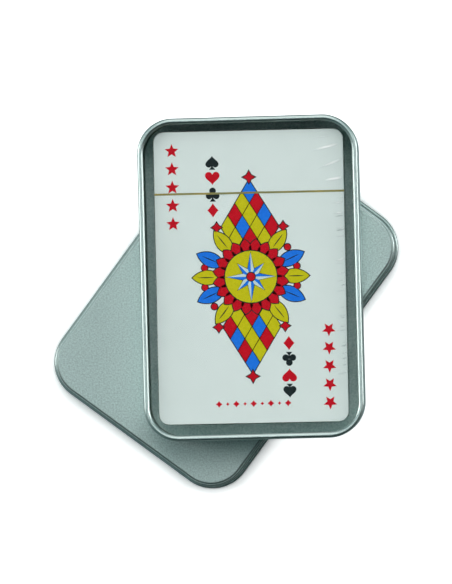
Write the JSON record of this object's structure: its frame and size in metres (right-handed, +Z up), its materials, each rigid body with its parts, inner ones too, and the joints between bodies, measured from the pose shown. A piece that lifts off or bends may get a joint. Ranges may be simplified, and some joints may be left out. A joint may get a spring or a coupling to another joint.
{
  "type": "card game tin with slip lid",
  "caption": "Pressed tinplate tray with a curled rim, standing on its slip lid and holding a film-sealed pack of playing cards.",
  "frame": {"origin": "middle of the whole arrangement seen from above, at the level of the surface that the lid's hem rests on", "axes": "+Z up, out of the tray's mouth; +Y along the tray and the cards, towards the end with the tear strip; +X across the tray"},
  "size_m": [0.106, 0.1124, 0.0317],
  "materials": {
    "lid_tinplate": "satin tinplate with a fine stipple grain",
    "tray_tinplate": "satin tinplate with a fine stipple grain",
    "clear_film": "clear glossy film",
    "gold_strip": "metallic gold",
    "card_stock": "coated white card"
  },
  "bodies": {
    "lid": {"lid": "lid_tinplate"},
    "tray": {"tray": "tray_tinplate"},
    "pack": {"film_wrap": "clear_film", "tear_strip": "gold_strip", "card_joker_colour": "card_stock", "card_joker_plain": "card_stock", "card_spades_ace": "card_stock", "card_spades_two": "card_stock", "card_spades_three": "card_stock", "card_spades_four": "card_stock", "card_spades_five": "card_stock", "card_spades_six": "card_stock", "card_spades_seven": "card_stock", "card_spades_eight": "card_stock", "card_spades_nine": "card_stock", "card_spades_ten": "card_stock", "card_spades_jack": "card_stock", "card_spades_queen": "card_stock", "card_spades_king": "card_stock", "card_diamonds_ace": "card_stock", "card_diamonds_two": "card_stock", "card_diamonds_three": "card_stock", "card_diamonds_four": "card_stock", "card_diamonds_five": "card_stock", "card_diamonds_six": "card_stock", "card_diamonds_seven": "card_stock", "card_diamonds_eight": "card_stock", "card_diamonds_nine": "card_stock", "card_diamonds_ten": "card_stock", "card_diamonds_jack": "card_stock", "card_diamonds_queen": "card_stock", "card_diamonds_king": "card_stock", "card_clubs_ace": "card_stock", "card_clubs_two": "card_stock", "card_clubs_three": "card_stock", "card_clubs_four": "card_stock", "card_clubs_five": "card_stock", "card_clubs_six": "card_stock", "card_clubs_seven": "card_stock", "card_clubs_eight": "card_stock", "card_clubs_nine": "card_stock", "card_clubs_ten": "card_stock", "card_clubs_jack": "card_stock", "card_clubs_queen": "card_stock", "card_clubs_king": "card_stock", "card_hearts_ace": "card_stock", "card_hearts_two": "card_stock", "card_hearts_three": "card_stock", "card_hearts_four": "card_stock", "card_hearts_five": "card_stock", "card_hearts_six": "card_stock", "card_hearts_seven": "card_stock", "card_hearts_eight": "card_stock", "card_hearts_nine": "card_stock", "card_hearts_ten": "card_stock", "card_hearts_jack": "card_stock", "card_hearts_queen": "card_stock", "card_hearts_king": "card_stock"}
  },
  "joints": [
    {"name": "tray_lift", "type": "slide", "parent": "lid", "child": "tray", "axis": [0, 0, 1], "range_m": [0, 0.03]},
    {"name": "pack_lift", "type": "slide", "parent": "tray", "child": "pack", "axis": [0, 0, 1], "range_m": [0, 0.025]}
  ]
}
